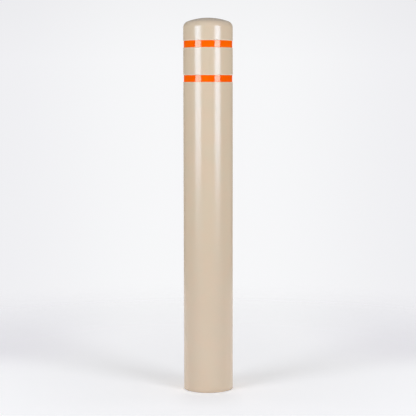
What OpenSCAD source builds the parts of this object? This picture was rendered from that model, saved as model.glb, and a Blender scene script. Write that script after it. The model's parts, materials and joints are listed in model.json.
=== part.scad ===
// Bollard cover sleeve: a one-piece moulded plastic tube with a domed end that slides down
// over a round steel post. Two reflective tapes lie in shallow moulded recesses near the top,
// and self-adhesive foam strips inside the tube hold it snug on the post.

/* [Post] */
// Outside diameter of the steel post that the sleeve covers
post_d = 168.3; // [140:0.1:220]
// Radial gap between the foam strips and the post
post_clearance = 0.15; // [0.05:0.05:0.3]

/* [Sleeve] */
// Wall thickness of the tube and of the dome
wall_t = 6.35; // [4:0.05:9]
// Height from the ground to the top of the dome
sleeve_h = 1422.4; // [1100:0.1:2000]
// Outside radius of the dome's crown
crown_r = 230; // [180:1:400]
// Outside radius of the knuckle that turns the crown into the tube
knuckle_r = 27; // [15:0.5:44]
// Radius on the inner and outer edges of the bottom rim
rim_edge_r = 2; // [0.5:0.1:2.8]

/* [Reflective bands] */
// Width of the reflective tape
band_w = 25.4; // [15:0.1:60]
// Thickness of the reflective tape
band_t = 0.4; // [0.2:0.05:0.8]
// Depth of the moulded recess that the tape lies in
recess_depth = 2; // [1:0.1:3]
// Gap between the tape's edge and the side of the recess
band_clearance = 0.3; // [0.2:0.1:2]
// Draft angle of the sides of the recess
recess_draft = 35; // [5:1:45]
// Distance from the top of the dome down to the middle of the upper band
upper_band_drop = 100; // [80:0.5:200]
// Distance between the middles of the two bands
band_pitch = 129.5; // [70:0.5:300]
// Length of the tape's overlap at the back
lap_l = 30; // [10:1:60]

/* [Foam strips] */
// Thickness of a foam strip, which sets the bore of the tube around the post
strip_t = 4; // [2:0.1:8]
// Number of foam strips in each ring
strip_count = 4; // [3:1:6]
// Width of a foam strip, measured round the bore
strip_w = 50; // [40:1:80]
// Length of a foam strip, measured up the bore
strip_l = 250; // [100:5:400]
// Distance from the bottom rim up to the lower foam strips
lower_strip_lift = 30; // [10:1:100]
// Distance from the foot of the dome down to the upper foam strips
upper_strip_drop = 40; // [5:1:150]

/* [Hidden] */
// Names of the pieces
UPPER_STRIPS = [for (i = [1:strip_count]) str("upper_foam_strip_", i)];
LOWER_STRIPS = [for (i = [1:strip_count]) str("lower_foam_strip_", i)];

// Facets of a drawn circle
$fn = 96;

// How far a cut runs past the face that it opens
overrun = 1;

// Colours of the moulding, the tape and the foam
shell_colour = "#D8C8B2";
tape_colour = "#FD6203";
foam_colour = "#3A3B3C";

// Tube, from the post outwards
strip_inner_r = post_d / 2 + post_clearance;
bore_r = strip_inner_r + strip_t;
outer_r = bore_r + wall_t;
// Share of the wall that one rounded edge of the rim may take
rim_edge_share = 0.45;
rim_r = min(rim_edge_r, wall_t * rim_edge_share);

// Dome: the crown's centre is on the axis, and the knuckle touches the crown and the tube
crown_z = sleeve_h - crown_r;
knuckle_x = outer_r - knuckle_r;
spring_rise = sqrt(pow(crown_r - knuckle_r, 2) - pow(knuckle_x, 2));
spring_z = crown_z + spring_rise;

// Bands and their recesses
recess_r = outer_r - recess_depth;
recess_w = band_w + 2 * band_clearance;
upper_band_z = sleeve_h - upper_band_drop;
lower_band_z = upper_band_z - band_pitch;
tape_r = recess_r + band_t;
lap_r = tape_r + band_t;

// Foam strips
strip_angle = arc_angle(strip_w, bore_r);
strip_step = 360 / strip_count;
// Turn of the first strip, as a share of the step between strips
strip_turn_share = 0.5;
lower_strip_z = lower_strip_lift;
upper_strip_z = spring_z - upper_strip_drop - strip_l;

// Angle in degrees of an arc of the given length
function arc_angle(arc_l, r) = arc_l / r * 180 / PI;

// Half outline of a tube that ends in a knuckle and a crown; its foot runs below the rim
module domed_outline(tube_r, crown, knuckle, foot) {
    crown_top = crown + overrun;
    translate([0, -foot])
        square([tube_r, spring_z + foot]);
    translate([knuckle_x, spring_z])
        circle(r = knuckle);
    intersection() {
        translate([0, crown_z])
            circle(r = crown);
        translate([0, crown_z])
            polygon([[0, 0], [crown_top * knuckle_x / spring_rise, crown_top], [0, crown_top]]);
    }
}

// What a drafted recess takes from the outline's side
module recess_waste() {
    flare = (recess_depth + overrun) * tan(recess_draft);
    floor_half = recess_w / 2;
    polygon([
        [recess_r, -floor_half],
        [outer_r + overrun, -floor_half - flare],
        [outer_r + overrun, floor_half + flare],
        [recess_r, floor_half]
    ]);
}

// What a rounded edge takes from a square corner at the origin
module edge_waste() {
    difference() {
        translate([-overrun, -overrun])
            square(rim_r + overrun);
        translate([rim_r, rim_r])
            circle(r = rim_r);
    }
}

// Half section of the moulded sleeve
module sleeve_section() {
    difference() {
        domed_outline(outer_r, crown_r, knuckle_r, 0);
        domed_outline(bore_r, crown_r - wall_t, knuckle_r - wall_t, overrun);
        for (z = [upper_band_z, lower_band_z])
            translate([0, z])
                recess_waste();
        translate([bore_r, 0])
            edge_waste();
        translate([outer_r, 0])
            mirror([1, 0])
                edge_waste();
    }
}

// The tube and dome, moulded in one piece
module sleeve_shell() {
    color(shell_colour)
        rotate_extrude()
            sleeve_section();
}

// Plan of a tape that is wrapped round its recess until its end lies over its start, at the back
module tape_plan() {
    difference() {
        union() {
            circle(r = tape_r);
            intersection() {
                circle(r = lap_r);
                translate([-lap_l / 2, 0])
                    square([lap_l, lap_r + overrun]);
            }
        }
        circle(r = recess_r);
    }
}

// One tape in its recess
module reflective_band(z) {
    color(tape_colour)
        translate([0, 0, z - band_w / 2])
            linear_extrude(height = band_w)
                tape_plan();
}

// One foam strip, stuck to the bore's wall
module foam_strip(z, index) {
    color(foam_colour)
        translate([0, 0, z])
            rotate([0, 0, (index - strip_turn_share) * strip_step - strip_angle / 2])
                rotate_extrude(angle = strip_angle)
                    translate([strip_inner_r, 0])
                        square([strip_t, strip_l]);
}

sleeve_shell();
reflective_band(upper_band_z);  // upper_reflective_band
reflective_band(lower_band_z);  // lower_reflective_band
for (i = [1:strip_count]) {
    foam_strip(upper_strip_z, i);
    foam_strip(lower_strip_z, i);
}
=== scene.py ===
# %% [markdown]
# A bollard cover sleeve is a tall plastic tube with a domed end. It slides down over a steel post, so that
# the post needs no more painting, and two orange tapes make it easy to see. The measured solids of its
# pieces are loaded first, and they are never moved. Each mesh below is built around them in metres, so a
# piece lands where its solid is and nothing has to be fitted by eye.

# %% Load the measured solids
import json
import math

import bmesh
import bpy
from mathutils import Matrix, Vector


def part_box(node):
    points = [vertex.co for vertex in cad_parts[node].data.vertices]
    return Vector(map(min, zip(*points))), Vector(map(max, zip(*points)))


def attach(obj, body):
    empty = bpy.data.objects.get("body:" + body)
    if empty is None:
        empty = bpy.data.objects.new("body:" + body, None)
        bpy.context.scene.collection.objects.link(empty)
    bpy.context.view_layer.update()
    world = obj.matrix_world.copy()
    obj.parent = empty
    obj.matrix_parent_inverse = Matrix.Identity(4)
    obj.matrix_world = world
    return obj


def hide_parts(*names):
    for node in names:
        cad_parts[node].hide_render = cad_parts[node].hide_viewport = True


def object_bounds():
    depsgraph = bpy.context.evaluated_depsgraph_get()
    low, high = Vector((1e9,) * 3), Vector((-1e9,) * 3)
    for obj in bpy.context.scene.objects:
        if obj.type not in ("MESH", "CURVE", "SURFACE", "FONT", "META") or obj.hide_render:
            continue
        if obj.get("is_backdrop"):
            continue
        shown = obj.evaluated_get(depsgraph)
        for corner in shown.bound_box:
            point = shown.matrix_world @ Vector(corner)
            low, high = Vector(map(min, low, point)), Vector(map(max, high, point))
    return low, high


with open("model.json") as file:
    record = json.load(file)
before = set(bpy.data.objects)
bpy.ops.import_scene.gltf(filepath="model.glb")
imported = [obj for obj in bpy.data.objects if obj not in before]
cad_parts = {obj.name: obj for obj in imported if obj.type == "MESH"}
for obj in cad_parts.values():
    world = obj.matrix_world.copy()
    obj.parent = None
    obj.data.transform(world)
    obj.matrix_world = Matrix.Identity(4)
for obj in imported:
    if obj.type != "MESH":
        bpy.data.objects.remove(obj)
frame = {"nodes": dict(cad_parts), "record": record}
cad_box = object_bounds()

scene = bpy.context.scene


def rounded(values, digits):
    """Numbers cut to a few digits, for printing."""
    return [round(value, digits) for value in values]


print("solids loaded:", len(frame["nodes"]))
print("their box runs from", rounded(cad_box[0], 4), "to", rounded(cad_box[1], 4))

# %% [markdown]
# Sizes come first, because every later step leans on them. The outer radius and the height are read from
# the solid's box. A box can't show a wall or a rounding, so those few sizes are written down here with
# names, in millimetres turned into metres. The two recesses take their places from the tapes' own boxes,
# so a tape and its recess always fit.

# %% Sizes of the sleeve
MM = 0.001
WALL_THICKNESS = 6.35 * MM
CROWN_RADIUS = 230 * MM
KNUCKLE_RADIUS = 27 * MM
RIM_ROUNDING = 2 * MM
sleeve_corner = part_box("sleeve_shell")[1]
outer_radius = sleeve_corner.x
sleeve_height = sleeve_corner.z
bore_radius = outer_radius - WALL_THICKNESS
crown_z = sleeve_height - CROWN_RADIUS
knuckle_x = outer_radius - KNUCKLE_RADIUS
dome_z = crown_z + math.sqrt((CROWN_RADIUS - KNUCKLE_RADIUS) ** 2 - knuckle_x**2)
print("outer radius", round(outer_radius, 5), "height", round(sleeve_height, 4))
print("the dome starts at", round(dome_z, 4))

# %% Recesses for the tapes
TAPES = {"upper_tape": "upper_reflective_band", "lower_tape": "lower_reflective_band"}
RECESS_DEPTH = 2 * MM
RECESS_GAP = 0.3 * MM
RECESS_DRAFT = math.radians(35)
recess_radius = outer_radius - RECESS_DEPTH
recess_flare = RECESS_DEPTH * math.tan(RECESS_DRAFT)


def recess_span(node):
    """The lower and upper edges of the floor of the recess that a tape lies in."""
    low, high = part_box(node)
    return low.z - RECESS_GAP, high.z + RECESS_GAP


for name, node in TAPES.items():
    print("the recess of", name, "reaches over", rounded(recess_span(node), 4))

# %% [markdown]
# The camera stands about five metres in front of the sleeve, a little below its top, and looks slightly
# down. A long lens keeps the tube's sides almost parallel, as they are in a product picture. The place,
# the lens and the tilt were fitted to the edges of the tube and to the two ellipses at its ends. It is
# built first, so that every later choice can be judged from the right spot.

# %% Camera
SENSOR_WIDTH = 36.0
LENS = 116.97
CAMERA_PLACE = Vector((-0.0008, -5.163, 1.1625))
CAMERA_TILT = math.radians(5.13)
CAMERA_ROLL = -0.0014
lens_data = bpy.data.cameras.new("front_camera")
lens_data.sensor_width = SENSOR_WIDTH
lens_data.lens = LENS
camera = bpy.data.objects.new("front_camera", lens_data)
scene.collection.objects.link(camera)
tilted = Matrix.Rotation(math.pi / 2 - CAMERA_TILT, 4, "X")
rolled = Matrix.Rotation(CAMERA_ROLL, 4, "Z")
camera.matrix_world = Matrix.Translation(CAMERA_PLACE) @ tilted @ rolled
scene.camera = camera
print("camera at", rounded(camera.matrix_world.translation, 3), "with a lens of", LENS, "mm")

# %% [markdown]
# A finish in Blender is a tree of nodes. Wiring nodes one by one soon hides the idea behind them, so two
# small helpers come first. A Wire wraps one output socket, and sums written with it become Math nodes. A
# Recipe holds the tree, and its one method makes any other node: settings first, then socket values.

# %% A wire that can stand in a sum
class Wire:
    """One output socket of a node, which can stand in a Python sum."""

    def __init__(self, recipe, socket):
        self.recipe = recipe
        self.socket = socket

    def beside(self, name):
        """Another output of the same node."""
        outputs = {entry.identifier: entry for entry in self.socket.node.outputs}
        return Wire(self.recipe, outputs[name])

    def __add__(self, other):
        return self.recipe.maths("ADD", self, other)

    def __radd__(self, other):
        return self.recipe.maths("ADD", other, self)

    def __sub__(self, other):
        return self.recipe.maths("SUBTRACT", self, other)

    def __rsub__(self, other):
        return self.recipe.maths("SUBTRACT", other, self)

    def __mul__(self, other):
        return self.recipe.maths("MULTIPLY", self, other)

    def __rmul__(self, other):
        return self.recipe.maths("MULTIPLY", other, self)

    def __truediv__(self, other):
        return self.recipe.maths("DIVIDE", self, other)

    def __rtruediv__(self, other):
        return self.recipe.maths("DIVIDE", other, self)

    def __abs__(self):
        return self.recipe.maths("ABSOLUTE", self)


print("reflected sums that a wire knows:", sum(name.startswith("__r") for name in vars(Wire)))

# %% A recipe that makes nodes
MATH_INPUTS = ("Value", "Value_001")
NOISE_MIDDLE = 0.5


class Recipe:
    """A node tree that is filled by Python expressions."""

    def __init__(self, tree):
        tree.nodes.clear()
        self.tree = tree

    def node(self, kind, settings=None, sockets=None, output=None):
        """Any node: its settings first, then the values or wires of its sockets."""
        made = self.tree.nodes.new(kind)
        for name, value in (settings or {}).items():
            if name == "stops":
                self.set_stops(made.color_ramp.elements, value)
            else:
                setattr(made, name, value)
        entries = {entry.identifier: entry for entry in made.inputs}
        for name, value in (sockets or {}).items():
            if isinstance(value, Wire):
                self.tree.links.new(value.socket, entries[name])
            else:
                entries[name].default_value = value
        outputs = {entry.identifier: entry for entry in made.outputs}
        if not outputs:
            return made
        return Wire(self, outputs[output] if output else made.outputs[0])

    def set_stops(self, elements, stops):
        """The stops of a colour ramp, which starts with two."""
        while len(elements) < len(stops):
            elements.new(1.0)
        for element, (position, colour) in zip(elements, stops):
            element.position = position
            element.color = colour

    def maths(self, operation, *values):
        """A Math node on one or two numbers or wires."""
        return self.node("ShaderNodeMath", {"operation": operation}, dict(zip(MATH_INPUTS, values)))

    def mix(self, share, first, second):
        """A colour between two colours."""
        sockets = {"Factor_Float": share, "A_Color": first, "B_Color": second}
        return self.node("ShaderNodeMix", {"data_type": "RGBA"}, sockets, "Result_Color")

    def smooth(self, value, start, end, low=0.0, high=1.0):
        """A value that eases from low to high while the input goes from start to end."""
        sockets = {"Value": value, "From Min": start, "From Max": end, "To Min": low, "To Max": high}
        return self.node("ShaderNodeMapRange", {"interpolation_type": "SMOOTHSTEP"}, sockets, "Result")

    def noise(self, place, blobs, detail, roughness):
        """Soft noise from 0 to 1, with so many blobs to the metre."""
        sockets = {"Vector": place, "Scale": blobs, "Detail": detail, "Roughness": roughness}
        return self.node("ShaderNodeTexNoise", sockets=sockets)

    def swing(self, noise, width):
        """Noise moved and scaled, so that it swings round zero over the given width."""
        return width * (noise - NOISE_MIDDLE)

    def stretched(self, place, factors):
        """The place with each axis scaled, for marks that run one way."""
        sockets = {"Vector": place, "Vector_001": factors}
        return self.node("ShaderNodeVectorMath", {"operation": "MULTIPLY"}, sockets, "Vector")

    def bump(self, height):
        """A normal tilted by a height that is given in metres."""
        return self.node("ShaderNodeBump", sockets={"Strength": 1.0, "Distance": 1.0, "Height": height})


trial_tree = bpy.data.node_groups.new("trial_sum", "ShaderNodeTree")
trial_wire = Recipe(trial_tree).node("ShaderNodeValue")
trial_sum = 1 - trial_wire * 2
print("1 - wire * 2 ends in a", trial_sum.socket.node.operation, "node, one of", len(trial_tree.nodes))
bpy.data.node_groups.remove(trial_tree)

# %% Start a finish
def rgb(red, green, blue):
    return (red, green, blue, 1.0)


def new_finish(name):
    """An empty material and the recipe that fills it."""
    finish = bpy.data.materials.new(name)
    finish.use_nodes = True
    return finish, Recipe(finish.node_tree)


def set_surface(recipe, shader):
    recipe.node("ShaderNodeOutputMaterial", sockets={"Surface": shader})


def object_place(recipe):
    """Where a point is on its piece: its place as a vector, and its x, y and height."""
    place = recipe.node("ShaderNodeTexCoord", output="Object")
    x = recipe.node("ShaderNodeSeparateXYZ", sockets={"Vector": place}, output="X")
    return place, x, x.beside("Y"), x.beside("Z")


print("materials that came with the solids:", len(bpy.data.materials))

# %% [markdown]
# The sleeve is polyethylene, coloured right through and moulded in a heated mould. Its pigment is a little
# cloudy and holds a few darker specks. A painted picture of that would need unwrapping and would be too
# coarse up close, so noise is used instead: it is worked out at each point, at any distance.

# %% Pigment of the plastic
TAN_WARM = rgb(0.764, 0.600, 0.430)
TAN_COOL = rgb(0.742, 0.608, 0.438)
TAN_SPECK = rgb(0.630, 0.515, 0.380)
# Here and below, a noise is its blobs to the metre, its detail and its roughness
CLOUD = (14.0, 3.0, 0.55)
CLOUD_SPAN = (0.3, 0.7)
SPECKS = (900.0, 2.0, 0.6)
SPECK_SPAN = (0.55, 0.8)
SPECK_SHARE = 0.35


def cloudy_pigment(recipe, place, cloud):
    """The tan that goes right through the plastic."""
    pigment = recipe.mix(recipe.smooth(cloud, *CLOUD_SPAN), TAN_WARM, TAN_COOL)
    speck = recipe.smooth(recipe.noise(place, *SPECKS), *SPECK_SPAN, 0.0, SPECK_SHARE)
    return recipe.mix(speck, pigment, TAN_SPECK)


print("a cloud of pigment is about", round(1 / CLOUD[0] / MM), "mm wide")

# %% [markdown]
# The lips of the recesses stick out into the light, so a pale band painted on them stands for their
# highlight: a painted highlight, broken up a little by noise. The slanted sides beside the tapes lie in
# shade, so they are painted darker and warmer: painted shade. Each of these is a mask: a wire that is 1
# where the mark is and 0 elsewhere. The sleeve is round, so a height is all that a mask needs here.

# %% Painted highlight and shade at the recesses
TAN_LIP_HIGHLIGHT = rgb(0.83, 0.74, 0.55)
TAN_RECESS_SHADE = rgb(0.64, 0.58, 0.16)
LIP_HIGHLIGHT_REACH = (1.2 * MM, 2.8 * MM)
LIP_BREAKUP = (45.0, 4.0, 0.65)
LIP_BREAKUP_SPAN = (0.3, 0.65)
LIP_BREAKUP_LEAST = 0.55
RECESS_SHADE_SHARE = 0.55


def total(masks):
    """One wire that adds up several."""
    return sum(masks[1:], masks[0])


def painted_recess_masks(recipe, height):
    """Two masks: a painted highlight on the recess lips, and painted shade on their floors and up their
    sides.
    """
    lips = []
    floors = []
    for bottom, top in map(recess_span, TAPES.values()):
        for lip in (top + recess_flare, bottom - recess_flare):
            lips.append(1 - recipe.smooth(abs(height - lip), *LIP_HIGHLIGHT_REACH))
        from_middle = abs(height - (bottom + top) / 2)
        half_floor = (top - bottom) / 2
        floors.append(1 - recipe.smooth(from_middle, half_floor, half_floor + recess_flare))
    return total(lips), total(floors)


def recess_painted_light(recipe, colour, place, height, outside):
    """The colour of the skin with a painted highlight on the lips and painted shade in the recesses."""
    lips, floors = painted_recess_masks(recipe, height)
    breakup = recipe.smooth(recipe.noise(place, *LIP_BREAKUP), *LIP_BREAKUP_SPAN, LIP_BREAKUP_LEAST, 1.0)
    # Painted highlight on the lips, then painted shade on the slanted sides of the recesses
    lip_lit = recipe.mix(lips * breakup * outside, colour, TAN_LIP_HIGHLIGHT)
    return recipe.mix(floors * outside * RECESS_SHADE_SHARE, lip_lit, TAN_RECESS_SHADE)


print("a lip rubs pale over", round(2 * LIP_HIGHLIGHT_REACH[1] / MM, 1), "mm")

# %% [markdown]
# Low down the skin turns darker and warmer towards the bottom. A faint tint reaches up to about half of the
# height and a stronger one stays near the foot. The last centimetre is darkened unevenly, which is painted
# contact shade where the rim meets the ground. All of it is faint.

# %% Darker towards the foot, with painted contact shade
TAN_LOWER_TINT = rgb(0.72, 0.45, 0.28)
TAN_FOOT_DARK = rgb(0.60, 0.45, 0.31)
LOWER_TINT_HEIGHTS = (180 * MM, 760 * MM)
LOWER_TINT_SHARE = 0.13
FOOT_DARK_HEIGHTS = (0.0, 160 * MM)
FOOT_DARK_SHARE = 0.16
CONTACT_SHADE_HEIGHTS = (3 * MM, 14 * MM)
CONTACT_SHADE_SPAN = (0.1, 0.8)
CONTACT_SHADE_SHARES = (0.15, 0.5)


def darker_foot(recipe, colour, height, cloud):
    """The colour of the skin, darker and warmer towards the bottom, with painted contact shade at the foot.
    """
    lower_tint = (1 - recipe.smooth(height, *LOWER_TINT_HEIGHTS)) * LOWER_TINT_SHARE
    darkening = (1 - recipe.smooth(height, *FOOT_DARK_HEIGHTS)) * FOOT_DARK_SHARE
    # The last centimetre: painted contact shade, made uneven by the cloud noise
    near_ground = 1 - recipe.smooth(height, *CONTACT_SHADE_HEIGHTS)
    contact_shade = near_ground * recipe.smooth(cloud, *CONTACT_SHADE_SPAN, *CONTACT_SHADE_SHARES)
    tinted = recipe.mix(lower_tint, colour, TAN_LOWER_TINT)
    return recipe.mix(contact_shade + darkening, tinted, TAN_FOOT_DARK)


print("dust reaches up to", round(LOWER_TINT_HEIGHTS[1] / sleeve_height, 2), "of the height")

# %% [markdown]
# Where the plastic touched the mould it is a soft semi-gloss with a slight orange peel, and hands have
# dulled it here and there. The inside never touches the mould, so it is dull and lumpy, and the sawn edge
# at the bottom shows the marks of the blade. Real bumps this small would need millions of faces, so they
# are given to the shader as heights, and only the highlights bend.

# %% Gloss and bumps of the plastic
MICRON = 1e-6
SKIN_ROUGHNESS = 0.21
INSIDE_ROUGHNESS = 0.55
HANDLING = (30.0, 4.0, 0.6)
HANDLING_STRETCH = (1.0, 1.0, 0.35)
HANDLING_SWING = 0.07
PEEL = (260.0, 1.0, 0.5)
PEEL_HEIGHT = 5 * MICRON
GRAIN = (1600.0, 2.0, 0.6)
GRAIN_HEIGHT = 2 * MICRON
LUMPS = (120.0, 3.0, 0.6)
LUMP_HEIGHT = 160 * MICRON
SAW_MARKS = (1.0, 2.0, 0.5)
SAW_STRETCH = (2600.0, 90.0, 1.0)
SAW_HEIGHT = 60 * MICRON


def skin_roughness(recipe, place, dull):
    """The gloss of the handled skin, and the dullness of what the mould didn't touch."""
    handling = recipe.noise(recipe.stretched(place, HANDLING_STRETCH), *HANDLING)
    skin = SKIN_ROUGHNESS + recipe.swing(handling, HANDLING_SWING)
    return skin + dull * (INSIDE_ROUGHNESS - skin)


def skin_bumps(recipe, place, inside, cut_edge):
    """The orange peel and grain of the skin, the lumps inside and the saw marks below."""
    peel = recipe.noise(place, *PEEL) * PEEL_HEIGHT
    grain = recipe.noise(place, *GRAIN) * GRAIN_HEIGHT
    lumps = recipe.noise(place, *LUMPS) * inside * LUMP_HEIGHT
    saw_marks = recipe.noise(recipe.stretched(place, SAW_STRETCH), *SAW_MARKS) * cut_edge * SAW_HEIGHT
    return recipe.bump(peel + grain + lumps + saw_marks)


print("the skin's bumps are up to", round((PEEL_HEIGHT + GRAIN_HEIGHT) / MICRON, 1), "microns high")

# %% [markdown]
# One material carries the outside, the inside and the sawn edge, as one moulding does. The inside could be
# told by its radius, but the dome's outside comes just as close to the axis. So the mesh gets a mark called
# lining, and the material reads it. The plastic's shine is slightly cooler than its colour.

# %% Finish of the moulded plastic
LINING = "lining"
CUT_EDGE_HEIGHTS = (0.05 * MM, 0.6 * MM)
PLASTIC_IOR = 1.70
SHEEN_TINT = rgb(0.70, 0.835, 0.965)


def moulded_plastic():
    finish, recipe = new_finish("tan_moulded_plastic")
    place, x, y, height = object_place(recipe)
    inside = recipe.node("ShaderNodeAttribute", {"attribute_name": LINING}, output="Fac")
    cut_edge = 1 - recipe.smooth(height, *CUT_EDGE_HEIGHTS)
    cloud = recipe.noise(place, *CLOUD)
    pigment = cloudy_pigment(recipe, place, cloud)
    with_recess_light = recess_painted_light(recipe, pigment, place, height, 1 - inside)
    shader = recipe.node("ShaderNodeBsdfPrincipled", sockets={
        "Base Color": darker_foot(recipe, with_recess_light, height, cloud),
        "Roughness": skin_roughness(recipe, place, recipe.maths("MAXIMUM", inside, cut_edge)),
        "IOR": PLASTIC_IOR,
        "Specular Tint": SHEEN_TINT,
        "Normal": skin_bumps(recipe, place, inside, cut_edge),
    })
    set_surface(recipe, shader)
    return finish


plastic = moulded_plastic()
print(plastic.name, "has", len(plastic.node_tree.nodes), "nodes")

# %% [markdown]
# The tube, its dome and the two shallow recesses for the tapes are one moulding, and every section through
# the axis is the same. Such a body could be a cylinder with cuts, but then each edge would need its own
# bevel. Turning one outline round the axis, as on a lathe, gives clean quads and lets each edge have its
# real rounding. The outline is drawn as corner points with a rounding each.

# %% Round the corners of an outline
def rounded_corner(before, corner, after, rounding, steps):
    """Points of the arc that rounds a corner between two straight lines."""
    corner = Vector(corner)
    back = (Vector(before) - corner).normalized()
    ahead = (Vector(after) - corner).normalized()
    half_angle = back.angle(ahead) / 2
    middle = corner + (back + ahead).normalized() * (rounding / math.sin(half_angle))
    reach = rounding / math.tan(half_angle)
    start = corner + back * reach - middle
    end = corner + ahead * reach - middle
    sweep = start.angle(end)
    points = []
    for step in range(steps + 1):
        share = step / steps
        weight_start = math.sin((1 - share) * sweep) / math.sin(sweep)
        weight_end = math.sin(share * sweep) / math.sin(sweep)
        points.append(middle + start * weight_start + end * weight_end)
    return points


def arc_points(centre_x, centre_z, radius, start, end, steps):
    """Points of an arc, with angles measured from straight up."""
    angles = [start + (end - start) * step / steps for step in range(steps + 1)]
    return [Vector((centre_x + radius * math.sin(a), centre_z + radius * math.cos(a))) for a in angles]


trial_corner = rounded_corner((0, 1), (0, 0), (1, 0), 0.25, 4)
print("a rounded corner runs from", rounded(trial_corner[0], 3), "to", rounded(trial_corner[-1], 3))

# %% [markdown]
# Smooth shading averages the faces that meet at a point, so a long face beside a small rounding would look
# bent. A support point half a millimetre from each rounding keeps the long wall flat. The rest of a long
# wall is split evenly, so that it can carry a slight unevenness later.

# %% Split the straight walls
SUPPORT_GAP = 0.5 * MM
SHORTEST_SPLIT = 4 * SUPPORT_GAP
WALL_STEP = 20 * MM


def split_wall(start, end):
    """Points between two ends of a straight wall, without the ends."""
    wall = end - start
    length = wall.length
    if length < SHORTEST_SPLIT:
        return []
    inner = length - 2 * SUPPORT_GAP
    count = max(1, math.ceil(inner / WALL_STEP))
    places = [SUPPORT_GAP + inner * i / count for i in range(count + 1)]
    return [start + wall * (place / length) for place in places]


def joined(runs):
    """One outline from runs of points, with split walls between them."""
    outline = list(runs[0])
    for run in runs[1:]:
        outline += split_wall(outline[-1], run[0])
        outline += run
    return outline


print("a wall of 100 mm gets", len(split_wall(Vector((0, 0)), Vector((0, 100 * MM)))), "points")

# %% Outline of the sleeve
LIP_ROUNDING = 0.8 * MM
CREASE_ROUNDING = 0.4 * MM
CORNER_STEPS = 8
# Steps of the crown and of the knuckle
SKIN_STEPS = (30, 36)
BORE_STEPS = (20, 24)
SIDEWAYS = math.pi / 2
crown_sweep = math.asin(knuckle_x / (CROWN_RADIUS - KNUCKLE_RADIUS))


def dome_arcs(inset, crown_steps, knuckle_steps):
    """The dome's half section from its top down to the tube, at a distance in from the skin."""
    crown = arc_points(0, crown_z, CROWN_RADIUS - inset, 0, crown_sweep, crown_steps)
    knuckle = arc_points(knuckle_x, dome_z, KNUCKLE_RADIUS - inset, crown_sweep, SIDEWAYS, knuckle_steps)
    return crown + knuckle[1:]


def recess_corners(node):
    """The four corners of the recess that a tape lies in, from the top down."""
    bottom, top = recess_span(node)
    return [
        ((outer_radius, top + recess_flare), LIP_ROUNDING),
        ((recess_radius, top), CREASE_ROUNDING),
        ((recess_radius, bottom), CREASE_ROUNDING),
        ((outer_radius, bottom - recess_flare), LIP_ROUNDING),
    ]


def wall_corners():
    """Runs of points for the corners of the wall, down the skin and round the rim to the bore."""
    corners = [corner for node in TAPES.values() for corner in recess_corners(node)]
    corners += [((outer_radius, 0), RIM_ROUNDING), ((bore_radius, 0), RIM_ROUNDING)]
    path = [(outer_radius, dome_z)] + [place for place, rounding in corners] + [(bore_radius, dome_z)]
    runs = []
    for index, (place, rounding) in enumerate(corners):
        runs.append(rounded_corner(path[index], place, path[index + 2], rounding, CORNER_STEPS))
    return runs


def sleeve_runs():
    """Runs of the half section: down the skin from the top of the dome, and back up the bore."""
    *skin_corners, bore_corner = wall_corners()
    skin = [dome_arcs(0, *SKIN_STEPS)] + skin_corners
    bore = [bore_corner, dome_arcs(WALL_THICKNESS, *BORE_STEPS)[::-1]]
    return skin, bore


skin_runs, bore_runs = sleeve_runs()
outline = joined(skin_runs + bore_runs)
skin_count = len(joined(skin_runs))
print("outline points:", len(outline), "of which on the skin:", skin_count)
print("the outline runs from", rounded(outline[0], 4), "to", rounded(outline[-1], 4))

# %% [markdown]
# A real moulding shrinks as it cools, so its wall is never quite true. A ripple of a tenth of a millimetre
# or two makes a long highlight look alive. It is three waves: the tube goes slightly oval, sways, and sinks
# in faint rings. It fades out near the tapes, the rim and the dome, where other pieces or the ground need
# the true circle.

# %% Unevenness of the cooled wall
RIPPLE = 0.16 * MM
RIPPLE_CLEAR = 4 * MM
RIPPLE_FADE = 60 * MM
OVAL_WAVES = 2
OVAL_DRIFT = 1.9
OVAL_START = 0.7
SWAY_SHARE = 0.6
SWAY_WAVES = 3
SWAY_DRIFT = 11.0
SINK_SHARE = 0.5
SINK_RINGS = 27.0
SINK_TILT = 1.1
SINK_START = 0.4
true_heights = [0.0, dome_z]
for node in TAPES.values():
    true_heights += [corner.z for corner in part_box(node)]


def eased(share):
    """A share from 0 to 1 that starts and ends gently."""
    share = min(1.0, max(0.0, share))
    return share * share * (3 - 2 * share)


def wall_ripple(turn, height):
    """How far the cooled wall stands out or in at a turn and a height."""
    if height > dome_z:
        return 0.0
    fade = min(eased((abs(height - true) - RIPPLE_CLEAR) / RIPPLE_FADE) for true in true_heights)
    oval = math.cos(OVAL_WAVES * turn + OVAL_START + OVAL_DRIFT * height)
    sway = SWAY_SHARE * math.sin(SWAY_WAVES * turn + SWAY_DRIFT * height)
    sink = SINK_SHARE * math.sin(SINK_RINGS * height + SINK_TILT * math.sin(turn + SINK_START))
    return RIPPLE * fade * (oval + sway + sink) / (1 + SWAY_SHARE + SINK_SHARE)


sample = [wall_ripple(0.3 * i, 0.01 * i) for i in range(120)]
print("ripple from", round(min(sample) / MM, 3), "to", round(max(sample) / MM, 3), "mm")

# %% [markdown]
# Turning the outline makes a ring of points for each point of it, and a quad between neighbours. The two
# points on the axis are single points that close the dome inside and out. The inside of the wall gets the
# lining mark that the finish asks for. Whether the mesh is closed and its volume are then printed, beside
# the solid's volume: a closed mesh whose faces look outwards has a positive volume, which should be the
# solid's.

# %% Meshes from rings of points
def on_circle(radius, turn, height):
    """A point at a distance from the axis, at a turn from the back."""
    return (radius * math.sin(turn), radius * math.cos(turn), height)


def ring_quads(first, rings, count):
    """Quads between neighbouring rings, which have the same count of points each."""
    quads = []
    for ring in range(rings - 1):
        near = first + ring * count
        far = near + count
        for step in range(count):
            after = (step + 1) % count
            quads.append((near + step, near + after, far + after, far + step))
    return quads


def new_mesh(name, verts, faces):
    mesh = bpy.data.meshes.new(name)
    mesh.from_pydata(verts, [], faces)
    mesh.update()
    return mesh


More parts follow.
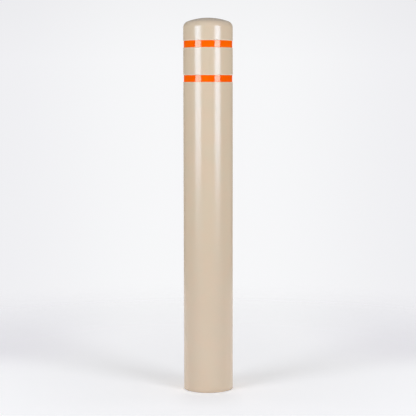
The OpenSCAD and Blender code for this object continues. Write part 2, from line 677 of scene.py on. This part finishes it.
def mesh_volume(mesh):
    """Volume of a mesh in cubic centimetres, and whether every edge joins two faces."""
    work = bmesh.new()
    work.from_mesh(mesh)
    closed = all(len(edge.link_faces) == 2 for edge in work.edges)
    volume = work.calc_volume(signed=True) * 1e6
    work.free()
    return volume, closed


solid_volume = mesh_volume(frame["nodes"]["sleeve_shell"].data)[0]
print("the sleeve's solid has", round(solid_volume), "cm3")

# %% Turn the outline into the sleeve
TURN_STEPS = 240
AXIS_POINTS = 2


def turned_mesh(name, points, ripple):
    """A closed mesh made by turning an outline that starts and ends on the axis."""
    rings = points[1:-1]
    turns = [2 * math.pi * step / TURN_STEPS for step in range(TURN_STEPS)]
    verts = [(0, 0, points[0].y), (0, 0, points[-1].y)]
    for radius, height in rings:
        verts += [on_circle(radius + ripple(turn, height), turn, height) for turn in turns]
    faces = ring_quads(AXIS_POINTS, len(rings), TURN_STEPS)
    last = len(verts) - TURN_STEPS
    for step in range(TURN_STEPS):
        after = (step + 1) % TURN_STEPS
        faces.append((0, AXIS_POINTS + after, AXIS_POINTS + step))
        faces.append((1, last + step, last + after))
    return new_mesh(name, verts, faces)


def mark_lining(mesh, skin_points):
    """Marks the points inside the wall, which come after those of the skin."""
    skin_verts = AXIS_POINTS + (skin_points - 1) * TURN_STEPS
    inside_verts = len(mesh.vertices) - skin_verts
    values = [0.0, 1.0] + [0.0] * (skin_verts - AXIS_POINTS) + [1.0] * inside_verts
    mesh.attributes.new(LINING, "FLOAT", "POINT").data.foreach_set("value", values)


def place_piece(name, mesh, finish, node):
    """Shows a mesh in place of its solid, on the root body, with its finish."""
    piece = bpy.data.objects.new(name, mesh)
    scene.collection.objects.link(piece)
    mesh.materials.append(finish)
    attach(piece, "root")
    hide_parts(node)
    return piece


sleeve_mesh = turned_mesh("moulded_sleeve", outline, wall_ripple)
sleeve_mesh.shade_smooth()
mark_lining(sleeve_mesh, skin_count)
sleeve = place_piece("moulded_sleeve", sleeve_mesh, plastic, "sleeve_shell")
sleeve_volume, sleeve_closed = mesh_volume(sleeve_mesh)
print(sleeve.name, "closed:", sleeve_closed, "volume", round(sleeve_volume), "cm3")

# %% [markdown]
# Reflective tape is a thin glossy film over a layer of tiny beads, sealed in small cells. The cell walls
# show as a faint honeycomb about three millimetres wide. Each cell holds the points nearest to its centre,
# and the centres form two shifted grids, so a few sums on the wires are enough and no picture is needed.

# %% Honeycomb of the tape's cells
ROOT_3 = math.sqrt(3.0)
HALF_CELL = 0.5
GRID_SHIFTS = (0.0, HALF_CELL)
CELL_SLANT = math.radians(60)
CELL_WALL_SPAN = (0.42, 0.49)


def honeycomb(recipe, across, up):
    """1 in the middle of a cell and 0 on its wall, for a place measured in cell widths."""
    distances = []
    for shift in GRID_SHIFTS:
        cell_x = abs(recipe.maths("FRACT", across + shift) - HALF_CELL)
        cell_y = abs(recipe.maths("FRACT", up / ROOT_3 + shift) - HALF_CELL) * ROOT_3
        slanted = cell_x * math.cos(CELL_SLANT) + cell_y * math.sin(CELL_SLANT)
        distances.append(recipe.maths("MAXIMUM", cell_x, slanted))
    return 1 - recipe.smooth(recipe.maths("MINIMUM", *distances), *CELL_WALL_SPAN)


print("a cell's wall takes", round(1 - CELL_WALL_SPAN[0] / HALF_CELL, 2), "of the way to its middle")

# %% [markdown]
# The film is orange with a dye that also glows in daylight, so it is brighter than paint could be. A little
# emission of the same hue stands in for that glow. It is a painted glow: it shines the same under any
# light, and it also lifts the tape's shaded sides. The colour has faded a bit unevenly. The film's own
# smooth surface gives the sharp highlight, with a faintly warm tint, and a few smudges soften it.

# %% Finish of the reflective tape
ORANGE = rgb(0.96, 0.135, 0.0)
ORANGE_DEEP = rgb(0.92, 0.097, 0.0)
CELL_WALL = rgb(1.0, 0.18, 0.002)
CELL_WALL_SHARE = 0.45
CELL_WIDTH = 3.2 * MM
CELL_RISE = 7 * MICRON
BEADS = (2400.0, 2.0, 0.7)
BEAD_RISE = 1 * MICRON
BEAD_SHARE = 0.3
FADING = (20.0, 2.0, 0.5)
FADING_SPAN = (0.36, 0.64)
SMUDGES = (60.0, 3.0, 0.6)
SMUDGE_SWING = 0.04
FLUORESCENT_PAINTED_GLOW = rgb(1.0, 0.10, 0.0)
PAINTED_GLOW_STRENGTH = 0.17
FILM_ROUGHNESS = 0.08
FILM_IOR = 1.72
FILM_SHINE = rgb(1.0, 1.0, 0.91)


def reflective_film():
    finish, recipe = new_finish("orange_reflective_film")
    place, x, y, height = object_place(recipe)
    round_tube = recipe.maths("ARCTAN2", x, y) * recess_radius
    cell = honeycomb(recipe, round_tube / CELL_WIDTH, height / CELL_WIDTH)
    beads = recipe.noise(place, *BEADS)
    faded = beads * BEAD_SHARE + recipe.noise(place, *FADING) * (1 - BEAD_SHARE)
    dye = recipe.mix(recipe.smooth(faded, *FADING_SPAN), ORANGE, ORANGE_DEEP)
    smudges = recipe.noise(place, *SMUDGES)
    shader = recipe.node("ShaderNodeBsdfPrincipled", sockets={
        "Base Color": recipe.mix((1 - cell) * CELL_WALL_SHARE, dye, CELL_WALL),
        "Roughness": FILM_ROUGHNESS + recipe.swing(smudges, SMUDGE_SWING),
        "IOR": FILM_IOR,
        "Specular Tint": FILM_SHINE,
        # Painted glow: emission for the dye's fluorescence, which also lifts the tape's shaded sides
        "Emission Color": FLUORESCENT_PAINTED_GLOW,
        "Emission Strength": PAINTED_GLOW_STRENGTH,
        "Normal": recipe.bump(cell * CELL_RISE + beads * BEAD_RISE),
    })
    set_surface(recipe, shader)
    return finish


film = reflective_film()
print(film.name, "has", len(film.node_tree.nodes), "nodes")

# %% [markdown]
# The tape comes off a roll and is wrapped round by hand until its end lies over its start, at the back. A
# plain ring would hide that, so the strip follows a turn of a full circle and a little more. Near the end
# it climbs by its own thickness over the cut start, and it wanders a hair up and down, as hand work does.
# Its section is a thin rectangle with eased edges.

# %% Section and path of a tape
TAPE_THICKNESS = 0.4 * MM
TAPE_EDGE = 0.1 * MM
TAPE_EDGE_STEPS = 3
GLUE_GAP = 0.03 * MM
LAP_LENGTH = 30 * MM
CLIMB_LENGTH = 7 * MM
half_lap = LAP_LENGTH / 2 / recess_radius
climb = CLIMB_LENGTH / recess_radius


def tape_section(width):
    """Section of the tape, as distances out from the recess and up from the tape's middle."""
    half = width / 2
    corners = [(0, -half), (TAPE_THICKNESS, -half), (TAPE_THICKNESS, half), (0, half)]
    runs = []
    for index, corner in enumerate(corners):
        before = corners[index - 1]
        after = corners[(index + 1) % len(corners)]
        runs.append(rounded_corner(before, corner, after, TAPE_EDGE, TAPE_EDGE_STEPS))
    return joined(runs) + split_wall(runs[-1][-1], runs[0][0])


def lift_over_start(turn):
    """How far the tape has climbed over its own start at a turn from the back."""
    over = turn - (2 * math.pi - half_lap)
    return (TAPE_THICKNESS + GLUE_GAP) * eased(1 + over / climb)


print("the end of the tape lies", round(lift_over_start(2 * math.pi) / MM, 2), "mm higher than its start")

# %% Wrap the tapes
TAPE_STATIONS = 420
TAPE_CRISP = math.radians(50)
WANDER = 0.12 * MM
WANDER_WAVES = 2
WANDER_START = 0.8


def wrapped_tape(name, node):
    low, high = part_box(node)
    middle = (low.z + high.z) / 2
    section = tape_section(high.z - low.z)
    count = len(section)
    verts = []
    for station in range(TAPE_STATIONS + 1):
        turn = -half_lap + (2 * math.pi + 2 * half_lap) * station / TAPE_STATIONS
        level = middle + WANDER * math.sin(WANDER_WAVES * turn + WANDER_START)
        foot = recess_radius + GLUE_GAP + lift_over_start(turn)
        verts += [on_circle(foot + out, turn, level + up) for out, up in section]
    start_cut = tuple(reversed(range(count)))
    end_cut = tuple(range(len(verts) - count, len(verts)))
    mesh = new_mesh(name, verts, [start_cut, end_cut] + ring_quads(0, TAPE_STATIONS + 1, count))
    mesh.shade_smooth()
    mesh.set_sharp_from_angle(angle=TAPE_CRISP)
    return place_piece(name, mesh, film, node)


for name, node in TAPES.items():
    tape = wrapped_tape(name, node)
    tape_volume, tape_closed = mesh_volume(tape.data)
    print(tape.name, "closed:", tape_closed, "volume", round(tape_volume, 2), "cm3")

# %% [markdown]
# Foam strips stuck inside the tube take up the gap to the post and stop the sleeve from rattling. Closed
# cell foam is a mass of tiny bubbles cut open at the surface, so it is dark, matt and pitted. A texture of
# cells gives both the pits and the paler rims between them.

# %% Finish of the foam
FOAM_DARK = rgb(0.026, 0.027, 0.029)
FOAM_RIM = rgb(0.060, 0.062, 0.065)
FOAM_CELLS = 850.0
RIM_SPAN = (0.2, 0.75)
RIM_SHARE = 0.7
RIM_RISE = 140 * MICRON
PATCHES = (40.0, 3.0, 0.6)
PATCH_RISE = 120 * MICRON
PATCH_SWING = 0.1
FOAM_ROUGHNESS = 0.86
FOAM_IOR = 1.4


def closed_cell_foam():
    finish, recipe = new_finish("charcoal_foam")
    place = recipe.node("ShaderNodeTexCoord", output="Object")
    cells = recipe.node("ShaderNodeTexVoronoi", {"feature": "F1"}, {"Vector": place, "Scale": FOAM_CELLS})
    rim = recipe.smooth(cells, *RIM_SPAN)
    patches = recipe.noise(place, *PATCHES)
    shader = recipe.node("ShaderNodeBsdfPrincipled", sockets={
        "Base Color": recipe.mix(rim * RIM_SHARE + patches * (1 - RIM_SHARE), FOAM_DARK, FOAM_RIM),
        "Roughness": FOAM_ROUGHNESS + recipe.swing(patches, PATCH_SWING),
        "IOR": FOAM_IOR,
        "Normal": recipe.bump(rim * RIM_RISE + patches * PATCH_RISE),
    })
    set_surface(recipe, shader)
    return finish


foam = closed_cell_foam()
print(foam.name, "has", len(foam.node_tree.nodes), "nodes")

# %% [markdown]
# A strip is cut from sheet foam with a knife, peeled and pressed on. Its edges are eased, its long sides
# draw in a little between the corners, and its face is never quite flat. A block with a bevel would miss
# that, so the strip is a grid bent to the bore, and each point's thickness comes from how far it is from
# the edge. The room for the post, which the record gives, sets how thick the foam may be.

# %% Thickness of a foam strip
STRIP_WIDTH = 50 * MM
FOAM_EDGE = 1.1 * MM
FOAM_EDGE_SHARE = 0.9
FOAM_FREE = 0.1 * MM
FACE_SAG = 0.12 * MM
SAG_ALONG = 70.0
SAG_ACROSS = 95.0
SAG_SHIFT = 1.7
post_socket = next(mount for mount in frame["record"]["mounts"] if mount["name"] == "post_socket")
post_room_radius = post_socket["dims"]["r_mm"] * MM
foam_thickness = bore_radius - post_room_radius - FOAM_FREE


def foam_height(across, along, length, phase):
    """Thickness of the foam at a point of its face."""
    edge = min(across, STRIP_WIDTH - across, along, length - along)
    inset = FOAM_EDGE - min(edge, FOAM_EDGE)
    rounding = FOAM_EDGE - math.sqrt(FOAM_EDGE**2 - inset**2)
    wave = math.sin(SAG_ALONG * along + phase) * math.cos(SAG_ACROSS * across + SAG_SHIFT * phase)
    return foam_thickness - rounding * FOAM_EDGE_SHARE - FACE_SAG * (1 + wave) / 2


print("foam is up to", round(foam_thickness / MM, 2), "mm thick")

# %% Grid of a foam strip
EDGE_LINES = 5
LAST_EDGE_LINE = 1.6
ACROSS_STEP = 2.5 * MM
ALONG_STEP = 4 * MM
SIDE_PULL = 0.5 * MM


def crowded(length, step):
    """Distances along a side, with extra ones near both ends for the rounded edge."""
    shares = [(line / EDGE_LINES) ** 2 for line in range(EDGE_LINES + 1)] + [LAST_EDGE_LINE]
    ends = [share * FOAM_EDGE for share in shares]
    inner = length - 2 * ends[-1]
    count = max(2, round(inner / step))
    middle = [ends[-1] + inner * i / count for i in range(1, count)]
    return ends + middle + [length - place for place in reversed(ends)]


def strip_points(node, across_lines, along_lines, phase):
    """Points of a strip: first its glued face, row by row, and then its open face."""
    low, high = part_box(node)
    length = high.z - low.z
    middle_turn = math.atan2(low.x + high.x, low.y + high.y)
    glued_radius = bore_radius - GLUE_GAP
    glued_face = []
    open_face = []
    for along in along_lines:
        pull = SIDE_PULL * math.sin(math.pi * along / length)
        for across in across_lines:
            offset = (across - STRIP_WIDTH / 2) * (1 - 2 * pull / STRIP_WIDTH)
            turn = middle_turn + offset / bore_radius
            open_radius = glued_radius - foam_height(across, along, length, phase)
            glued_face.append(on_circle(glued_radius, turn, low.z + along))
            open_face.append(on_circle(open_radius, turn, low.z + along))
    return glued_face + open_face


def strip_faces(columns, rows):
    """Quads of the glued face, of the open face and of the four sides between them."""
    half = columns * rows
    faces = []
    for row in range(rows - 1):
        for column in range(columns - 1):
            corner = row * columns + column
            quad = (corner, corner + 1, corner + columns + 1, corner + columns)
            faces.append(tuple(reversed(quad)))
            faces.append(tuple(half + index for index in quad))
    border = list(range(columns))
    border += [row * columns + columns - 1 for row in range(1, rows)]
    border += [(rows - 1) * columns + column for column in reversed(range(columns - 1))]
    border += [row * columns for row in reversed(range(1, rows - 1))]
    for near, far in zip(border, border[1:] + border[:1]):
        faces.append((near, far, half + far, half + near))
    return faces


print("lines across a strip:", len(crowded(STRIP_WIDTH, ACROSS_STEP)))

# %% Press the foam strips into the bore
FOAM_CRISP = math.radians(60)
PHASE_STEP = 1.3


def foam_strip(name, node, phase):
    low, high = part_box(node)
    across_lines = crowded(STRIP_WIDTH, ACROSS_STEP)
    along_lines = crowded(high.z - low.z, ALONG_STEP)
    verts = strip_points(node, across_lines, along_lines, phase)
    mesh = new_mesh(name, verts, strip_faces(len(across_lines), len(along_lines)))
    mesh.shade_smooth()
    mesh.set_sharp_from_angle(angle=FOAM_CRISP)
    piece = place_piece(name, mesh, foam, node)
    return piece


strip_nodes = sorted(node for node in frame["nodes"] if "foam_strip" in node)
for index, node in enumerate(strip_nodes):
    strip = foam_strip(node.replace("foam_strip", "foam_pad"), node, PHASE_STEP * index)
    strip_volume, strip_closed = mesh_volume(strip.data)
    print(strip.name, "closed:", strip_closed, "volume", round(strip_volume, 1), "cm3")

# %% [markdown]
# The picture was taken on a pale sweep, so the floor runs into the background without a line. A disc that
# melts away at its edge does the same and leaves the view free from every side. The floor keeps the soft
# shadows. Some of its paleness is a glow that only the camera, reflections and clear materials see, so it
# throws no more light on the sleeve. The glow is weaker in the far corners and just in front of the foot,
# which paints shade there, and there is none in a thin line where the rim touches the floor, which paints
# the dark contact shadow.

# %% Glow of the floor
GLOW_NEAR = rgb(0.278, 0.278, 0.280)
GLOW_FAR = rgb(0.344, 0.342, 0.344)
GLOW_CORNER_SHADE = rgb(0.231, 0.222, 0.244)
GLOW_FOOT_SHADOW = rgb(0.195, 0.197, 0.200)
GLOW_NONE = rgb(0.0, 0.0, 0.0)
SPREAD_RADII = (0.2, 1.4)
CORNER_SHADE_SIDES = (0.30, 0.95)
CORNER_SHADE_DEPTHS = (0.20, 0.80)
FOOT_SHADOW_RADII = (0.14, 0.38)
FOOT_SHADOW_DEPTHS = (-0.16, -0.04)
FOOT_SHADOW_SIDES = (0.05, 0.16)
CONTACT_SHADOW_REACH = 6 * MM
CONTACT_SHADOW_EDGE = 3 * MM


def from_axis(recipe, x, y):
    """The distance of a point from the sleeve's axis."""
    return recipe.maths("SQRT", x * x + y * y)


def floor_glow(recipe, x, y):
    """The glow of the floor at a place, where x runs to the right and y away from the camera."""
    radius = from_axis(recipe, x, y)
    spread = recipe.mix(recipe.smooth(radius, *SPREAD_RADII), GLOW_NEAR, GLOW_FAR)
    # Painted shade: less glow in the far corners, left and right behind the sleeve
    corner = recipe.smooth(abs(x), *CORNER_SHADE_SIDES) * recipe.smooth(y, *CORNER_SHADE_DEPTHS)
    # Painted shadow: less glow just in front of the foot
    before = (1 - recipe.smooth(radius, *FOOT_SHADOW_RADII)) * (1 - recipe.smooth(y, *FOOT_SHADOW_DEPTHS))
    foot = before * (1 - recipe.smooth(abs(x), *FOOT_SHADOW_SIDES))
    pale = recipe.mix(foot, recipe.mix(corner, spread, GLOW_CORNER_SHADE), GLOW_FOOT_SHADOW)
    # Painted contact shadow: no glow in a thin line where the rim touches the floor
    near_rim = from_axis(recipe, x, y + CONTACT_SHADOW_REACH)
    contact_shadow = 1 - recipe.smooth(near_rim, outer_radius - CONTACT_SHADOW_EDGE, outer_radius + CONTACT_SHADOW_EDGE)
    return recipe.mix(contact_shadow, pale, GLOW_NONE)


def seen_ray(recipe):
    """1 for rays from the camera, a reflection or a clear material, and 0 for soft light."""
    camera_ray = recipe.node("ShaderNodeLightPath", output="Is Camera Ray")
    seen = recipe.maths("MAXIMUM", camera_ray, camera_ray.beside("Is Glossy Ray"))
    return recipe.maths("MAXIMUM", seen, camera_ray.beside("Is Transmission Ray"))


print("the floor's glow is at most", max(GLOW_FAR[:3]))

# %% [markdown]
# The floor itself is matt paper with a slight fibre. It turns clear towards its outer edge, and from below
# it is clear all over, so that a look from underneath finds the sleeve. It is a ring that stays open under
# the sleeve, which lets the light of the studio reach the inside.

# %% Floor
FLOOR_RADIUS = 2.9
FLOOR_HOLE_RADIUS = (bore_radius + outer_radius) / 2
FLOOR_FADE = (0.75, 2.842)
FLOOR_DROP = 0.3 * MM
FLOOR_RINGS = 12
FLOOR_SPOKES = 96
FLOOR_PALE = rgb(0.97, 0.965, 0.96)
FIBRES = (300.0, 3.0, 0.6)
FIBRE_SWING = 0.1
PAPER_ROUGHNESS = 0.85
PAPER_SHINE = 0.2


def pale_sweep():
    finish, recipe = new_finish("pale_sweep")
    place, x, y, height = object_place(recipe)
    paper = recipe.node("ShaderNodeBsdfPrincipled", sockets={
        "Base Color": FLOOR_PALE,
        "Roughness": PAPER_ROUGHNESS + recipe.swing(recipe.noise(place, *FIBRES), FIBRE_SWING),
        "Specular IOR Level": PAPER_SHINE,
        "Emission Color": recipe.mix(seen_ray(recipe), GLOW_NONE, floor_glow(recipe, x, y)),
        "Emission Strength": 1.0,
    })
    beyond = recipe.smooth(from_axis(recipe, x, y), *FLOOR_FADE)
    from_below = recipe.node("ShaderNodeNewGeometry", output="Backfacing")
    clear = recipe.maths("MAXIMUM", beyond, from_below)
    open_air = recipe.node("ShaderNodeBsdfTransparent")
    sockets = {"Fac": clear, "Shader": paper, "Shader_001": open_air}
    set_surface(recipe, recipe.node("ShaderNodeMixShader", sockets=sockets))
    return finish


def stage_object(name, mesh, finish):
    """Shows a mesh that belongs to the studio and not to the sleeve."""
    mesh.materials.append(finish)
    piece = bpy.data.objects.new(name, mesh)
    scene.collection.objects.link(piece)
    piece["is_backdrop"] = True
    return piece


def floor_ring():
    verts = []
    for ring in range(FLOOR_RINGS + 1):
        radius = FLOOR_HOLE_RADIUS + (FLOOR_RADIUS - FLOOR_HOLE_RADIUS) * ring / FLOOR_RINGS
        turns = [2 * math.pi * spoke / FLOOR_SPOKES for spoke in range(FLOOR_SPOKES)]
        verts += [on_circle(radius, turn, -FLOOR_DROP) for turn in turns]
    return new_mesh("sweep_floor", verts, ring_quads(0, FLOOR_RINGS + 1, FLOOR_SPOKES))


floor = stage_object("sweep_floor", floor_ring(), pale_sweep())
print("floor faces:", len(floor.data.polygons), "looking up:", floor.data.polygons[0].normal.z > 0)

# %% [markdown]
# Behind and around the floor is the air of the studio. It is pale from below up to just over the horizon,
# which is all that the camera sees, and dim above, because a studio's ceiling is dark. The dim part draws
# the grey edge along the top of the dome. To the left and right the pale part is a little greyer, as a lit
# background is away from its middle.

# %% Air of the studio
AIR_PALE = rgb(0.930, 0.933, 0.945)
AIR_SIDE = rgb(0.865, 0.865, 0.890)
AIR_DIM = rgb(0.20, 0.20, 0.21)
AIR_DARK = rgb(0.42, 0.42, 0.43)
AIR_SIDE_SPAN = (0.03, 0.17)
CEILING_SPAN = (0.25, 0.55)
# How much of the dim air is there at a height above the horizon
DIM_SHARES = {0.02: 0.0, 0.065: 0.05, 0.09: 0.25, 0.16: 0.85, 0.40: 1.0}


def studio_air():
    world = bpy.data.worlds.new("studio_air")
    world.use_nodes = True
    recipe = Recipe(world.node_tree)
    direction = recipe.node("ShaderNodeTexCoord", output="Generated")
    sideways = recipe.node("ShaderNodeSeparateXYZ", sockets={"Vector": direction}, output="X")
    up = sideways.beside("Z")
    background = recipe.mix(recipe.smooth(abs(sideways), *AIR_SIDE_SPAN), AIR_PALE, AIR_SIDE)
    ceiling = recipe.mix(recipe.smooth(up, *CEILING_SPAN), AIR_DIM, AIR_DARK)
    stops = [(height, rgb(share, share, share)) for height, share in DIM_SHARES.items()]
    dim = recipe.node("ShaderNodeValToRGB", {"stops": stops}, {"Fac": up}, "Color")
    air = recipe.mix(dim, background, ceiling)
    shine = recipe.node("ShaderNodeBackground", sockets={"Color": air, "Strength": 1.0})
    recipe.node("ShaderNodeOutputWorld", sockets={"Surface": shine})
    return world


scene.world = studio_air()
print(scene.world.name, "has", len(scene.world.node_tree.nodes), "nodes")

# %% [markdown]
# Two tall softboxes in front, one on each side, draw the two bright stripes down the sleeve. Where a stripe
# lies on a shiny tube tells the softbox's direction: it is twice the angle round the tube. The stripes are
# about fifteen degrees wide on the tube, so the boxes look thirty degrees wide from it. They fade out below
# the middle, which gives the height of the boxes' lower edges, and each box has a dimmer panel at its foot.

# %% Softboxes
SOFTBOX_AWAY = 6.0
SOFTBOX_TINT = (0.965, 1.0, 1.075)
# Turn from the front in degrees, width and share of the light
SOFTBOXES = {"left": (-47.5, 2.98, 0.92), "right": (44.2, 2.76, 0.99)}
# Lower edge, upper edge and radiance
SOFTBOX_PANELS = {"lower": (0.50, 1.25, 5.5), "upper": (1.25, 3.93, 6.85)}


def flat_lamp(name, degrees, away, width, low, high, radiance):
    """A flat lamp at a turn from the front, which stands upright and faces the sleeve's axis."""
    light = bpy.data.lights.new(name, "AREA")
    light.shape = "RECTANGLE"
    light.size = width
    light.size_y = high - low
    light.energy = radiance * math.pi * width * (high - low)
    lamp = bpy.data.objects.new(name, light)
    scene.collection.objects.link(lamp)
    turn = math.radians(degrees)
    outwards = Vector((math.sin(turn), -math.cos(turn), 0))
    lamp.location = outwards * away + Vector((0, 0, (low + high) / 2))
    lamp.rotation_euler = (-outwards).to_track_quat("-Z", "Y").to_euler()
    lamp.visible_camera = False
    return lamp


for side, (degrees, width, share) in SOFTBOXES.items():
    for part, (low, high, radiance) in SOFTBOX_PANELS.items():
        name = f"{side}_softbox_{part}"
        panel = flat_lamp(name, degrees, SOFTBOX_AWAY, width, low, high, radiance * share)
        panel.data.color = SOFTBOX_TINT
        print(panel.name, "at", rounded(panel.location, 2), "with", round(panel.data.energy, 1), "W")

# %% [markdown]
# The sides of the tube are turned away from the softboxes, and a photographer lifts them with a low fill on
# each side, set towards the back. A fill is there for its soft light only, so the reflections don't show
# it. The right one is the stronger of the two, because the right side is the paler one in the picture.

# %% Fill lamps
FILL_AWAY = 4.0
FILL_WIDTH = 2.2
FILL_LOW = 0.0
FILL_HIGH = 0.75
# Turn from the front in degrees and radiance
FILLS = {"left_fill": (-120.0, 5.2), "right_fill": (118.0, 6.6)}
for name, (degrees, radiance) in FILLS.items():
    fill = flat_lamp(name, degrees, FILL_AWAY, FILL_WIDTH, FILL_LOW, FILL_HIGH, radiance)
    fill.visible_glossy = False
    print(fill.name, "at", rounded(fill.location, 2), "with", round(fill.data.energy, 1), "W")

# %% [markdown]
# A glossy tube shows everything round it. In a studio the room behind the camera is dark, so only the two
# softboxes show in the front of the tube, and its sides keep their colour. A dark curtain does the same
# here. It hangs in a wide arc that is open only at the back. The camera looks through it, and the light
# from behind and from the floor stays free.

# %% Dark curtain
CURTAIN_RADIUS = 7.0
CURTAIN_LOW = -0.6
CURTAIN_HIGH = 5.0
CURTAIN_REACH = math.radians(154)
CURTAIN_FOLDS = 96
CURTAIN_GREY = rgb(0.025, 0.025, 0.025)


def dark_cloth():
    finish, recipe = new_finish("dark_cloth")
    cloth = recipe.node("ShaderNodeBsdfPrincipled", sockets={
        "Base Color": CURTAIN_GREY,
        "Roughness": 1.0,
        "Specular IOR Level": 0.0,
    })
    set_surface(recipe, cloth)
    return finish


def curtain_arc():
    verts = []
    for fold in range(CURTAIN_FOLDS + 1):
        turn = math.pi + CURTAIN_REACH * (1 - 2 * fold / CURTAIN_FOLDS)
        verts.append(on_circle(CURTAIN_RADIUS, turn, CURTAIN_LOW))
        verts.append(on_circle(CURTAIN_RADIUS, turn, CURTAIN_HIGH))
    starts = range(0, 2 * CURTAIN_FOLDS, 2)
    return new_mesh("dark_curtain", verts, [(start, start + 1, start + 3, start + 2) for start in starts])


curtain = stage_object("dark_curtain", curtain_arc(), dark_cloth())
curtain.visible_camera = False
print("curtain panels:", len(curtain.data.polygons))

# %% [markdown]
# The Standard view shows each colour as it is written. Last of all, the box of the solids and the box of
# the finished pieces are written side by side, so that any growth would be seen at once.

# %% Colour view, and growth of the box
scene.view_settings.view_transform = "Standard"
visual_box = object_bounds()
for corner, solid, visual in zip(("low", "high"), cad_box, visual_box):
    growth = [(after - before) / MM for before, after in zip(solid, visual)]
    print("the", corner, "corner of the box moved by", rounded(growth, 2), "mm")
